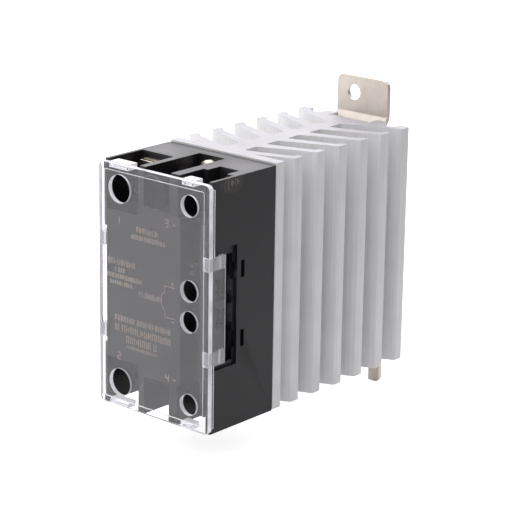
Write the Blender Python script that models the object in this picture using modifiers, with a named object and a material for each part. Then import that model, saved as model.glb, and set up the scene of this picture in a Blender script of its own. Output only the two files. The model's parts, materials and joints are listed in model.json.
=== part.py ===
"""Solid state relay, 45 mm wide, with its own heat sink and a rear bracket for a 35 mm rail or a panel.

Run it with: blender --background --python part.py

Frame: metres, +Z up, +X to the right of someone facing the relay, front towards -Y. The origin is on the
rear face of the bracket's plate, where a rail lies, at the middle of the heat sink's width and height. Sizes
below are in millimetres. A depth is measured rearwards from the front of the clear cover, so a depth of
RAIL_SEAT lies in the plane of the origin, and a depth of DEPTH in the panel's plane, behind the bracket's
tab and feet.
"""

import math

import bmesh
import bpy
from mathutils import Matrix, Vector

MM = 0.001

# Whole object
WIDTH = 45.0
HEIGHT = 81.0
DEPTH = 104.0
CASE_Z = -0.45  # the case and the cover sit this much off the middle of the heat sink
GAP = 0.3

# Case
CASE_HALF_W = 22.4
CASE_HALF_H = 40.38
CASE_FRONT = 2.1
CASE_REAR = 31.4
LABEL_RIGHT = 10.4
LABEL_WALL = 2.0
SIDE_RECESS = 1.0
SIDE_POCKET = 3.3
WIRE_POCKET_Z = (-18.5, 16.2)
RECESS_Z = (-19.9, 18.8)

# Terminal pockets: across X, the end of the label below them, and the depth of their floors
LOAD_POCKET_X = (-21.1, -7.6)
LOAD_POCKET_Z = 24.5
LOAD_FLOOR = 17.4
SCREW_POCKET_X = (-5.1, 5.6)
SCREW_POCKET_Z = 27.85
SCREW_FLOOR = 26.7
CONTROL_POCKET_X = (9.2, 21.3)
CONTROL_INNER_X = (10.9, 18.7)
CONTROL_POCKET_Z = 27.0
CONTROL_STEP = 12.9
CONTROL_FLOOR = 18.6
CHANNEL_X = (LABEL_RIGHT, 18.5)
CHANNEL_FLOOR = 8.0
ALARM_CELL_Z = (1.2, 8.0)
ALARM_FLOOR = 14.5

# Cavities, open to the rear
MAIN_X = (-17.8, 8.2)
MAIN_HALF_Z = 22.3
BOARD_SEAT = 21.2
BASE_SEAT = 28.4

# Terminals: (x, z from the middle of the case)
LOAD_X, LOAD_Z = -14.8, 31.85
CONTROL_X, CONTROL_Z = 14.75, 31.95
ALARM_X, ALARM_Z = 14.75, 4.95
CASE_SCREW_X, CASE_SCREW_Z = 0.3, 35.4

# Clear cover
COVER_HALF_W = 23.3
COVER_HALF_H = 39.75
COVER_PLATE = 1.8
COVER_WALL = 0.7
COVER_SKIRT = 2.7
COVER_RIM = 2.1
FACE_RECESS = 0.25
# Tabs over the load and control pockets: X of the tab and of the slot in the cover's front before it
COVER_TABS = {"load": ((-19.5, -11.5), (-18.9, -11.1)), "control": ((11.2, 16.0), (13.0, 16.2))}
TAB_Z, TAB_DEPTH = (38.1, 40.0), 5.0
SLOT_Z, SLOT_DEPTH = (38.6, 39.2), 1.0
COVER_CORNER = 1.6
WING_DEPTH = 7.7
CLIPS_Z = ((12.8, 17.0), (-17.8, -13.2))
LOAD_HOLE, SMALL_HOLE = 4.6, 3.5

# Heat sink
BASE_FRONT = 31.7
BASE_REAR = 35.6
FIN_COUNT = 5
FIN_PITCH = 11.0
FIN_TIP_FRONT = 40.6
FIN_TIP_THICK = 4.1
FIN_SLOPE = 0.41
ROOT_BACK = 37.5
ROOT_PITCH = 10.9
GAP_AT_SPINE = 6.4
SPINE_FRONT_HALF = 3.95
SPINE_REAR_HALF = 2.7
TIP_REAR = FIN_TIP_FRONT + FIN_COUNT * FIN_PITCH + FIN_TIP_THICK
WEB_REAR = 96.0
RIB_REAR = 100.2
RIB_INNER, RIB_OUTER = 8.4, 13.0

# Rear bracket, latch and rail
SHEET = 1.6
PLATE_FRONT = RIB_REAR + 0.2
RAIL_SEAT = PLATE_FRONT + SHEET
PLATE_HALF_W = 12.8
TAB_HALF_W = 10.75
TAB_TOP = 53.6
FOOT_BOTTOM = -53.1
FOOT_INNER = 6.1
BEND_LOW, BEND_HIGH = 38.6, 41.0
TAB_HOLE = (-3.65, 47.9)
TAB_HOLE_DIA = 5.4
BRACKET_SCREWS = (
    ("bracket_screw_1", -10.5, 30.0),
    ("bracket_screw_2", 10.5, 30.0),
    ("bracket_screw_3", -10.5, -30.0),
    ("bracket_screw_4", 10.5, -30.0),
)
RAIL_Z = 3.0
RAIL_HALF = 17.5
HOOK_THICK = 0.8
LATCH_HALF_W = 5.0
LATCH_TRAVEL = 3.5
LATCH_FRONT = 98.4
LATCH_NECK = 1.5
RIVETS = (("latch_rivet_upper", -23.4), ("latch_rivet_lower", -35.5))
RIVET_RADIUS, RIVET_HEAD = 1.4, 2.2
SLOT_HALF_W = 1.75
SPRING_TOP = -26.8

# Screws: shank radius, head radius, head height, length under the head
SCREWS = {
    "load": (2.4, 4.4, 3.3, 8.0),
    "control": (1.65, 3.2, 2.4, 7.4),
    "alarm": (1.4, 2.6, 1.9, 6.5),
    "case": (1.9, 3.9, 2.8, 10.0),
    "bracket": (1.25, 2.2, 1.2, 6.8),
}

# Indicator lights: a light pipe each, at one X, with their Z from the middle of the case
LIGHT_X = 12.0
LIGHTS = (("alarm_light_pipe", 9.25), ("input_light_pipe", 11.75))

PARTS = bpy.data.collections.new("solid_state_relay")
CUTTERS = bpy.data.collections.new("cutters")


# ---------------------------------------------------------------- helpers


def clear_scene():
    for obj in list(bpy.data.objects):
        bpy.data.objects.remove(obj, do_unlink=True)
    for collection in (PARTS, CUTTERS):
        bpy.context.scene.collection.children.link(collection)


def point(x, depth, z):
    """A place in metres from millimetres, with the depth counted from the front of the cover."""
    return Vector((x, depth - RAIL_SEAT, z)) * MM


def material(name, colour, roughness, metallic=0.0, alpha=1.0):
    made = bpy.data.materials.new(name)
    made.use_nodes = True
    shader = made.node_tree.nodes["Principled BSDF"]
    shader.inputs["Base Color"].default_value = (*colour, 1.0)
    shader.inputs["Roughness"].default_value = roughness
    shader.inputs["Metallic"].default_value = metallic
    shader.inputs["Alpha"].default_value = alpha
    return made


def add(name, mesh, finish=None, collection=PARTS):
    obj = bpy.data.objects.new(name, mesh)
    collection.objects.link(obj)
    if finish:
        mesh.materials.append(finish)
    if collection is CUTTERS:
        obj.hide_render = True
        obj.display_type = "WIRE"
    return obj


def from_bmesh(name, shape, finish=None, collection=PARTS):
    bmesh.ops.recalc_face_normals(shape, faces=shape.faces)
    mesh = bpy.data.meshes.new(name)
    shape.to_mesh(mesh)
    shape.free()
    return add(name, mesh, finish, collection)


def box(name, x, depth, z, finish=None, collection=PARTS):
    """A block between two X values, two depths and two Z values."""
    low = point(min(x), min(depth), min(z))
    high = point(max(x), max(depth), max(z))
    shape = bmesh.new()
    bmesh.ops.create_cube(shape, size=1.0)
    bmesh.ops.scale(shape, vec=high - low, verts=shape.verts)
    bmesh.ops.translate(shape, vec=(high + low) / 2, verts=shape.verts)
    return from_bmesh(name, shape, finish, collection)


def rod(name, x, depth, z, radius, finish=None, collection=PARTS, segments=24, along="Y"):
    """A cylinder along Y between two depths, or along X or Z where that axis is given as a pair."""
    quarter = math.pi / 2
    turn = {"X": Matrix.Rotation(quarter, 4, "Y"), "Y": Matrix.Rotation(quarter, 4, "X"), "Z": Matrix()}
    ends = {"X": x, "Y": depth, "Z": z}[along]
    middle = {"X": x, "Y": depth, "Z": z}
    middle[along] = sum(ends) / 2
    shape = bmesh.new()
    bmesh.ops.create_cone(
        shape,
        cap_ends=True,
        segments=segments,
        radius1=radius * MM,
        radius2=radius * MM,
        depth=abs(ends[1] - ends[0]) * MM,
        matrix=Matrix.Translation(point(middle["X"], middle["Y"], middle["Z"])) @ turn[along],
    )
    return from_bmesh(name, shape, finish, collection)


def rounded(corners, steps=3):
    """Turns (x, y, radius) corners into an outline whose corners are arcs; a radius of 0 stays sharp."""
    outline = []
    for i, (x, y, radius) in enumerate(corners):
        here = Vector((x, y))
        before = (Vector(corners[i - 1][:2]) - here).normalized()
        after = (Vector(corners[(i + 1) % len(corners)][:2]) - here).normalized()
        half = before.angle(after) / 2
        if radius == 0 or half > math.radians(88):
            outline.append(here)
            continue
        centre = here + (before + after).normalized() * radius / math.sin(half)
        start = here + before * radius / math.tan(half) - centre
        sweep = start.angle_signed(here + after * radius / math.tan(half) - centre)
        for step in range(steps + 1):
            outline.append(centre + Matrix.Rotation(-sweep * step / steps, 2) @ start)
    return outline


def prism(name, corners, ends, plane, finish=None, collection=PARTS):
    """A flat outline filled and pulled between two ends.

    plane "XZ" takes corners (x, z) and ends in depth, "XD" takes (x, depth) and ends in z,
    and "DZ" takes (depth, z) and ends in x.
    """
    outline = rounded([(*corner, 0)[:3] for corner in corners])
    curve = bpy.data.curves.new(name, "CURVE")
    curve.dimensions = "2D"
    curve.fill_mode = "BOTH"
    curve.extrude = abs(ends[1] - ends[0]) / 2 * MM
    spline = curve.splines.new("POLY")
    spline.points.add(len(outline) - 1)
    for spot, (a, b) in zip(spline.points, outline):
        spot.co = (a * MM, b * MM, 0, 1)
    spline.use_cyclic_u = True
    guide = add(name + "_outline", curve, None, CUTTERS)
    middle = sum(ends) / 2
    if plane == "XZ":
        guide.matrix_world = Matrix.Translation(point(0, middle, 0)) @ Matrix.Rotation(math.pi / 2, 4, "X")
    elif plane == "XD":
        guide.matrix_world = Matrix.Translation(point(0, 0, middle))
    else:
        turn = Matrix.Rotation(math.pi / 2, 4, "Z") @ Matrix.Rotation(math.pi / 2, 4, "X")
        guide.matrix_world = Matrix.Translation(point(middle, 0, 0)) @ turn
    bpy.context.view_layer.update()
    graph = bpy.context.evaluated_depsgraph_get()
    mesh = bpy.data.meshes.new_from_object(guide.evaluated_get(graph))
    mesh.transform(guide.matrix_world)
    bpy.data.objects.remove(guide)
    shape = bmesh.new()
    shape.from_mesh(mesh)
    bpy.data.meshes.remove(mesh)
    bmesh.ops.remove_doubles(shape, verts=shape.verts, dist=1e-6)
    return from_bmesh(name, shape, finish, collection)


def cut(target, *cutters, operation="DIFFERENCE"):
    for cutter in cutters:
        modifier = target.modifiers.new(cutter.name, "BOOLEAN")
        modifier.operation = operation
        modifier.object = cutter
    return target


def hole(name, x, depth, z, radius, segments=24):
    return rod(name, x, depth, z, radius, None, CUTTERS, segments)


def block(name, x, depth, z):
    return box(name, x, depth, z, None, CUTTERS)


def join(target, *others):
    """Fuses other solids into the target: they are one piece on the real object."""
    for other in others:
        other.hide_render = True
        other.display_type = "WIRE"
        if other.name in PARTS.objects:
            PARTS.objects.unlink(other)
            CUTTERS.objects.link(other)
    return cut(target, *others, operation="UNION")


def put_origin(obj, place):
    """Moves the object's origin to a place, leaving its shape where it is."""
    obj.data.transform(Matrix.Translation(-place))
    obj.location = place


def in_case(z):
    """A Z measured from the middle of the case, as a Z of the whole object."""
    return z + CASE_Z


def span(side, low, high):
    """A pair of Z values from the middle of the case, above it (side 1) or mirrored below (side -1)."""
    return tuple(sorted((in_case(side * low), in_case(side * high))))


# ---------------------------------------------------------------- materials

BLACK_PLASTIC = material("black_plastic", (0.035, 0.034, 0.036), 0.55)
CLEAR_PLASTIC = material("clear_plastic", (0.85, 0.86, 0.88), 0.12, alpha=0.35)
ALUMINIUM = material("aluminium", (0.72, 0.72, 0.74), 0.5, 1.0)
STEEL = material("nickel_steel", (0.62, 0.57, 0.50), 0.35, 1.0)
ZINC = material("zinc_screw", (0.66, 0.62, 0.52), 0.3, 1.0)
BRASS = material("plated_brass", (0.75, 0.70, 0.55), 0.35, 1.0)
COPPER = material("base_metal", (0.70, 0.45, 0.32), 0.4, 1.0)
CERAMIC = material("ceramic", (0.86, 0.85, 0.80), 0.5)
SILICON = material("silicon", (0.10, 0.10, 0.13), 0.25, 0.4)
GREEN_BOARD = material("circuit_board", (0.03, 0.20, 0.09), 0.4)
BLUE_DISC = material("varistor_blue", (0.05, 0.12, 0.35), 0.45)
YELLOW_FILM = material("capacitor_yellow", (0.65, 0.48, 0.06), 0.45)
TAN_BODY = material("resistor_tan", (0.55, 0.42, 0.28), 0.5)
GREASE = material("thermal_grease", (0.80, 0.80, 0.78), 0.7)
LED_GREEN = material("led_green", (0.10, 0.55, 0.12), 0.3)
LED_RED = material("led_red", (0.65, 0.05, 0.04), 0.3)


# ---------------------------------------------------------------- heat sink


def spine_half(depth):
    """Half the spine's width, which narrows evenly towards the rear."""
    along = (depth - BASE_REAR) / (WEB_REAR - BASE_REAR)
    return SPINE_FRONT_HALF + (SPINE_REAR_HALF - SPINE_FRONT_HALF) * along


def heat_sink_half():
    """Right half of the extrusion's section as (x, depth, corner radius), from the front to the rear."""
    edge = WIDTH / 2
    root_radius, tip_radius, lip_radius = 0.7, 0.8, 0.35
    lip_start, lip_rise, lip_thin = 2.5, 0.35, 3.0
    wedge_end = edge - (FIN_TIP_FRONT - BASE_REAR) / FIN_SLOPE
    corners = [(edge, BASE_FRONT, 0.3), (edge, BASE_REAR, 0.3), (wedge_end, BASE_REAR + 0.02, 0)]
    for fin in range(FIN_COUNT):
        tip = FIN_TIP_FRONT + FIN_PITCH * fin
        root = ROOT_BACK + ROOT_PITCH * fin
        before_lip = tip - FIN_SLOPE * lip_start + lip_thin
        after_lip = tip + FIN_TIP_THICK - FIN_SLOPE * (lip_start - lip_rise)
        next_root = root + GAP_AT_SPINE
        corners += [
            (edge, tip, tip_radius),
            (edge, tip + FIN_TIP_THICK, lip_radius),
            (edge - lip_start + lip_rise, after_lip, lip_radius),
            (edge - lip_start, before_lip, 0),
            (spine_half(root), root, root_radius),
            (spine_half(next_root), next_root, root_radius),
        ]
    tip_inner, groove_deep, relief = 18.65, 95.4, 0.6
    corners += [
        (edge, TIP_REAR - FIN_TIP_THICK, tip_radius),
        (edge, TIP_REAR, tip_radius),
        (tip_inner, TIP_REAR, lip_radius),
        (tip_inner - 0.15, groove_deep + 1.6, 0.3),
        (16.0, groove_deep + 0.2, 0.8),
        (RIB_OUTER + 1.0, groove_deep, 0.5),
        (RIB_OUTER, groove_deep + 1.2, 0.3),
        (RIB_OUTER, RIB_REAR - 1.2, 0.3),
        (RIB_OUTER - 1.0, RIB_REAR, 0.3),
        (RIB_INNER, RIB_REAR, 0.3),
        (RIB_INNER, WEB_REAR + relief, 0),
        (RIB_INNER + relief, WEB_REAR + relief / 2, 0.2),
        (RIB_INNER + relief, WEB_REAR - relief, 0.4),
        (RIB_INNER - relief, WEB_REAR - relief, 0.4),
        (RIB_INNER - relief, WEB_REAR, 0),
    ]
    return corners


def make_heat_sink():
    right = heat_sink_half()
    left = [(-x, depth, radius) for x, depth, radius in reversed(right)]
    half_z = HEIGHT / 2
    sink = prism("heat_sink", right + left, (-half_z, half_z), "XD", ALUMINIUM)
    for side, place in ((1, "top"), (-1, "bottom")):
        z = in_case(side * CASE_SCREW_Z)
        cut(sink, hole(f"case_screw_thread_{place}", CASE_SCREW_X, (BASE_FRONT - 1, BASE_FRONT + 7), z, 2.0))
    for name, x, z in BRACKET_SCREWS:
        bore = SCREWS["bracket"][0] + 0.2
        cut(sink, hole(f"{name}_thread", x, (RIB_REAR - 6, RIB_REAR + 1), z, bore, 16))
    return sink


# ---------------------------------------------------------------- case


def cut_terminal_pockets(case, side, place):
    beyond = CASE_HALF_H + 2
    front = CASE_FRONT - 1
    load_z = span(side, LOAD_POCKET_Z, beyond)
    screw_z = span(side, SCREW_POCKET_Z, beyond)
    control_z = span(side, CONTROL_POCKET_Z, beyond)
    case_screw_z = in_case(side * CASE_SCREW_Z)
    cut(
        case,
        block(f"load_pocket_{place}", LOAD_POCKET_X, (front, LOAD_FLOOR), load_z),
        block(f"screw_pocket_{place}", SCREW_POCKET_X, (front, SCREW_FLOOR), screw_z),
        block(f"control_pocket_{place}", CONTROL_POCKET_X, (front, CONTROL_STEP), control_z),
        block(f"control_inner_{place}", CONTROL_INNER_X, (CONTROL_STEP - 1, CONTROL_FLOOR), control_z),
        block(
            f"alarm_cell_{place}",
            CHANNEL_X,
            (CHANNEL_FLOOR - 1, ALARM_FLOOR),
            span(side, *ALARM_CELL_Z),
        ),
        block(
            f"wire_window_{place}",
            (CHANNEL_X[1] - 0.5, CASE_HALF_W - SIDE_POCKET + 0.5),
            (CHANNEL_FLOOR - 2.0, 12.5),
            span(side, *ALARM_CELL_Z),
        ),
    )
    cut(
        case,
        hole(f"load_tip_{place}", LOAD_X, (LOAD_FLOOR - 1, BOARD_SEAT), in_case(side * LOAD_Z), 3.0),
        hole(f"control_tip_{place}", CONTROL_X, (CONTROL_FLOOR - 1, 23), in_case(side * CONTROL_Z), 2.3),
        hole(f"alarm_tip_{place}", ALARM_X, (ALARM_FLOOR - 1, 19.6), in_case(side * ALARM_Z), 1.9, 16),
        hole(f"case_screw_way_{place}", CASE_SCREW_X, (SCREW_FLOOR - 1, 30), case_screw_z, 2.3),
    )
    load_slot_x = (LOAD_X - 4.3, LOAD_X + 4.3)
    control_slot_x = (CONTROL_X - 2.8, CONTROL_X + 2.8)
    alarm_slot_x = (CHANNEL_X[0] + 0.7, CHANNEL_X[0] + 2.6)
    cut(
        case,
        block(f"load_slot_{place}", load_slot_x, (15.4, BOARD_SEAT + 1), span(side, 19.0, 25.5)),
        block(f"control_slot_{place}", control_slot_x, (16.6, 22.0), span(side, 22.3, 28.5)),
        block(f"alarm_slot_{place}", alarm_slot_x, (14.0, 22.0), span(side, 3.2, 6.7)),
    )


def cut_cavities(case):
    label_rear = CASE_FRONT + LABEL_WALL
    cut(case, block("main_cavity", MAIN_X, (label_rear, 29), span(1, -MAIN_HALF_Z, MAIN_HALF_Z)))
    cut(case, block("board_cavity", (-20.0, 20.0), (BOARD_SEAT, 29), span(1, -25.5, 25.5)))
    load_x = (-20.0, SCREW_POCKET_X[0] - 2)
    control_x = (SCREW_POCKET_X[1] + 2, 20.0)
    for side, place in ((1, "top"), (-1, "bottom")):
        end_z = span(side, 24.0, 38.8)
        cut(
            case,
            block(f"load_cavity_{place}", load_x, (19.0, 29), end_z),
            block(f"control_cavity_{place}", control_x, (20.2, 29), end_z),
        )
    cut(case, block("base_seat", (-20.9, 20.9), (BASE_SEAT, CASE_REAR + 2), span(1, -39.0, 39.0)))


def cut_side(case, side, hand):
    outer = CASE_HALF_W + 1

    def across(depth_in):
        return tuple(sorted((side * outer, side * (CASE_HALF_W - depth_in))))

    recess_z = tuple(in_case(z) for z in RECESS_Z)
    pocket_z = tuple(in_case(z) for z in WIRE_POCKET_Z)
    cut(
        case,
        block(f"recess_{hand}", across(SIDE_RECESS), (CASE_FRONT - 1, 13.9), recess_z),
        block(f"wire_pocket_{hand}", across(SIDE_POCKET), (5.0, 12.9), pocket_z),
    )
    for number, z in enumerate(((7.65, 13.2), (-14.8, -9.3)), start=1):
        z = tuple(in_case(value) for value in z)
        cut(
            case,
            block(f"inner_slot_{hand}_{number}", across(SIDE_RECESS + 1.2), (12.0, 13.9), z),
            block(f"outer_slot_{hand}_{number}", across(1.4), (15.7, 17.4), z),
        )


def make_case():
    across, up = (-CASE_HALF_W, CASE_HALF_W), span(1, -CASE_HALF_H, CASE_HALF_H)
    case = box("case", across, (CASE_FRONT, CASE_REAR), up)
    case.data.materials.append(BLACK_PLASTIC)
    cut_side(case, 1, "right")
    cut_side(case, -1, "left")
    channel_z = span(1, -CONTROL_POCKET_Z - 1, CONTROL_POCKET_Z + 1)
    cut(case, block("channel", CHANNEL_X, (CASE_FRONT - 1, CHANNEL_FLOOR), channel_z))
    for side, place in ((1, "top"), (-1, "bottom")):
        cut_terminal_pockets(case, side, place)
    cut_cavities(case)
    room_x = (LIGHT_X - 1.4, LIGHT_X + 1.4)
    for name, z in LIGHTS:
        cut(
            case,
            hole(f"{name}_way", LIGHT_X, (CHANNEL_FLOOR - 1, BOARD_SEAT + 1), in_case(z), 1.0, 16),
            block(f"{name}_room", room_x, (19.6, BOARD_SEAT + 1), span(1, z - 1.0, z + 1.0)),
        )
    return case


# ---------------------------------------------------------------- power stage and electronics


def make_power_stage():
    across, up = (-20.6, 20.6), span(1, -38.7, 38.7)
    base = box("base_plate", across, (28.6, 31.2), up, COPPER)
    pad = box("thermal_pad", across, (31.25, 31.6), up, GREASE)
    for side, place in ((1, "top"), (-1, "bottom")):
        z = in_case(side * CASE_SCREW_Z)
        cut(base, hole(f"base_way_{place}", CASE_SCREW_X, (28, 32), z, 2.3))
        cut(pad, hole(f"pad_way_{place}", CASE_SCREW_X, (31, 32), z, 2.6))
    box("ceramic_substrate", (-19.2, 14.0), (27.75, 28.45), span(1, -22.0, 22.0), CERAMIC)
    box("thyristor_forward", (-6.0, 2.0), (26.9, 27.6), span(1, 3.0, 11.0), SILICON)
    box("thyristor_reverse", (-6.0, 2.0), (26.9, 27.6), span(-1, 3.0, 11.0), SILICON)


def make_electronics():
    box("control_board", (-9.5, 19.6), (21.5, 23.1), span(1, -25.0, 25.0), GREEN_BOARD)
    coupler = box("optocoupler", (0.0, 6.4), (17.9, 20.7), span(1, 6.0, 14.8), BLACK_PLASTIC)
    for number, z in enumerate((7.3, 9.4, 11.5, 13.6), start=1):
        leg_z = span(1, z - 0.3, z + 0.3)
        for name, x in (("a", -0.4), ("b", 6.5)):
            join(
                coupler,
                box(f"coupler_leg_{name}{number}", (x, x + 0.3), (19.2, 21.3), leg_z),
                box(f"coupler_root_{name}{number}", (x - 0.1, x + 0.5), (19.2, 19.5), leg_z),
            )
    capacitor = box("snubber_capacitor", (-8.0, -2.2), (9.0, 20.4), span(-1, 3.0, 17.0), YELLOW_FILM)
    join(
        capacitor,
        rod("capacitor_lead_1", -5.1, (20.0, 21.3), in_case(-5.0), 0.4, segments=12),
        rod("capacitor_lead_2", -5.1, (20.0, 21.3), in_case(-15.0), 0.4, segments=12),
    )
    varistor = rod("varistor", (-7.6, -3.8), 14.5, in_case(10.5), 5.2, BLUE_DISC, segments=28, along="X")
    join(
        varistor,
        rod("varistor_lead_1", -5.7, (18.5, 21.3), in_case(8.0), 0.4, segments=12),
        rod("varistor_lead_2", -5.7, (18.5, 21.3), in_case(13.0), 0.4, segments=12),
    )
    resistor = rod("snubber_resistor", 3.0, 17.6, span(-1, 4.0, 15.0), 2.0, TAN_BODY, segments=20, along="Z")
    for number, z in enumerate((3.0, 16.0), start=1):
        ends = span(-1, z - 1.2, z + 1.2)
        join(
            resistor,
            rod(f"resistor_lead_{number}", 3.0, 17.6, ends, 0.4, segments=12, along="Z"),
            rod(f"resistor_pin_{number}", 3.0, (17.6, 21.3), in_case(-z), 0.4, segments=12),
        )
    for (name, z), finish in zip(LIGHTS, (LED_RED, LED_GREEN)):
        rod(name, LIGHT_X, (5.2, 19.9), in_case(z), 0.8, CLEAR_PLASTIC, segments=16)
        led = name.replace("light_pipe", "led")
        box(led, (LIGHT_X - 1.0, LIGHT_X + 1.0), (20.2, 21.3), span(1, z - 0.7, z + 0.7), finish)


# ---------------------------------------------------------------- terminals


def pan_screw(name, x, depth, z, sizes, finish=ZINC):
    """A pan head screw with a crossed recess and its head's underside at the given depth.

    Its own +Z points out of the front, and its origin is on its axis under the head.
    """
    shank, head, rise, length = sizes
    outline = [
        (0.0, rise),
        (head * 0.55, rise),
        (head * 0.86, rise * 0.86),
        (head, rise * 0.55),
        (head, 0.0),
        (shank, 0.0),
        (shank, 0.5 - length),
        (shank - 0.5, -length),
        (0.0, -length),
    ]
    shape = bmesh.new()
    verts = [shape.verts.new((r * MM, 0, h * MM)) for r, h in outline]
    for a, b in zip(verts, verts[1:]):
        shape.edges.new((a, b))
    mesh = bpy.data.meshes.new(name)
    shape.to_mesh(mesh)
    shape.free()
    screw = add(name, mesh, finish)
    turn = screw.modifiers.new("turn", "SCREW")
    turn.steps = turn.render_steps = 24
    turn.use_merge_vertices = True
    turn.merge_threshold = 1e-6
    screw.matrix_world = Matrix.Translation(point(x, depth, z)) @ Matrix.Rotation(math.pi / 2, 4, "X")
    long, short = head * 0.55, head * 0.11
    recess = (depth - rise - 1, depth - rise * 0.45)
    for number, (wide, tall) in enumerate(((long, short), (short, long)), start=1):
        cut(screw, block(f"{name}_cross_{number}", (x - wide, x + wide), recess, (z - tall, z + tall)))
    return screw


def clamp_plate(name, x, depth, z, half_w, ends, bore, drop=1.2):
    """A wire clamp: a plate with a lip down each side, which fits over the terminal bar behind it.

    ends gives how far it reaches below and above its screw.
    """
    thick, lip = 1.4, 0.8
    outer, inner = half_w, half_w - lip
    corners = [
        (x - outer, depth + thick + drop),
        (x - outer, depth, 0.5),
        (x + outer, depth, 0.5),
        (x + outer, depth + thick + drop),
        (x + inner, depth + thick + drop),
        (x + inner, depth + thick),
        (x - inner, depth + thick),
        (x - inner, depth + thick + drop),
    ]
    plate = prism(name, corners, (z - ends[0], z + ends[1]), "XD", STEEL)
    cut(plate, hole(name + "_bore", x, (depth - 1, depth + thick + 1), z, bore))
    put_origin(plate, point(x, depth, z))
    return plate


def make_load_terminal(side, number):
    """Screw pad, strip through the pocket's wall, and a foot on the ceramic."""
    z = in_case(side * LOAD_Z)
    sheet, pad_rear, foot_rear = 1.5, LOAD_FLOOR - 0.2, 27.6
    path = [
        (pad_rear - sheet, 38.4),
        (pad_rear, 38.4),
        (pad_rear, 20.6),
        (foot_rear, 20.6),
        (foot_rear, 12.0),
        (foot_rear - 1.2, 12.0),
        (foot_rear - 1.2, 19.4),
        (pad_rear - sheet, 19.4),
    ]
    path = [(depth, in_case(side * height)) for depth, height in path]
    bar = prism(f"load_bar_{number}", path, (LOAD_X - 4.0, LOAD_X + 4.0), "DZ", BRASS)
    cut(bar, hole(f"load_bar_bore_{number}", LOAD_X, (14, 18), z, 2.7))
    ends = (4.7, 6.4) if side > 0 else (6.4, 4.7)
    clamp_plate(f"load_clamp_{number}", LOAD_X, 13.8, z, 5.0, ends, 2.75)
    pan_screw(f"load_screw_{number}", LOAD_X, 13.5, z, SCREWS["load"])


def make_control_terminal(side, number):
    """Screw pad, strip behind the channel, and a leg on the board."""
    z = in_case(side * CONTROL_Z)
    sheet, pad_rear, leg_end = 1.2, CONTROL_FLOOR - 0.3, BOARD_SEAT + 0.1
    path = [
        (pad_rear - sheet, 36.0),
        (pad_rear, 36.0),
        (pad_rear, 24.0),
        (leg_end, 24.0),
        (leg_end, 22.8),
        (pad_rear - sheet, 22.8),
    ]
    path = [(depth, in_case(side * height)) for depth, height in path]
    bar = prism(f"control_bar_{number}", path, (CONTROL_X - 2.5, CONTROL_X + 2.5), "DZ", BRASS)
    cut(bar, hole(f"control_bar_bore_{number}", CONTROL_X, (16, 20), z, 1.9))
    clamp_plate(f"control_clamp_{number}", CONTROL_X, 15.2, z, 3.5, (3.6, 3.6), 1.95)
    pan_screw(f"control_screw_{number}", CONTROL_X, 14.9, z, SCREWS["control"])


def make_alarm_terminal(side, number):
    """Screw pad and a leg through the cell's floor to the board."""
    z = in_case(side * ALARM_Z)
    sheet, pad_rear, leg_end = 1.2, ALARM_FLOOR - 0.3, BOARD_SEAT + 0.1
    left, right = CHANNEL_X[0] + 1.0, CHANNEL_X[1] - 0.6
    path = [
        (left, pad_rear - sheet),
        (right, pad_rear - sheet),
        (right, pad_rear),
        (left + sheet, pad_rear),
        (left + sheet, leg_end),
        (left, leg_end),
    ]
    bar = prism(f"alarm_bar_{number}", path, (z - 1.4, z + 1.4), "XD", BRASS)
    pad_z = (z - 2.6, z + 2.6)
    join(bar, box(f"alarm_pad_{number}", (left + 0.2, right), (pad_rear - sheet, pad_rear), pad_z))
    cut(bar, hole(f"alarm_bar_bore_{number}", ALARM_X, (12, 16), z, 1.7))
    clamp_plate(f"alarm_clamp_{number}", ALARM_X, 11.1, z, 3.3, (2.6, 2.6), 1.7, drop=0.4)
    pan_screw(f"alarm_screw_{number}", ALARM_X, 10.8, z, SCREWS["alarm"])


def make_terminals():
    for number, (side, place) in enumerate(((1, "top"), (-1, "bottom")), start=1):
        make_load_terminal(side, number)
        make_control_terminal(side, number)
        make_alarm_terminal(side, number)
        case_z = in_case(side * CASE_SCREW_Z)
        pan_screw(f"case_screw_{place}", CASE_SCREW_X, SCREW_FLOOR - GAP, case_z, SCREWS["case"])


# ---------------------------------------------------------------- clear cover


def rounded_rectangle(half_w, half_h, radius, z=0.0):
    return [
        (-half_w, z - half_h, radius),
        (half_w, z - half_h, radius),
        (half_w, z + half_h, radius),
        (-half_w, z + half_h, radius),
    ]


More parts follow.
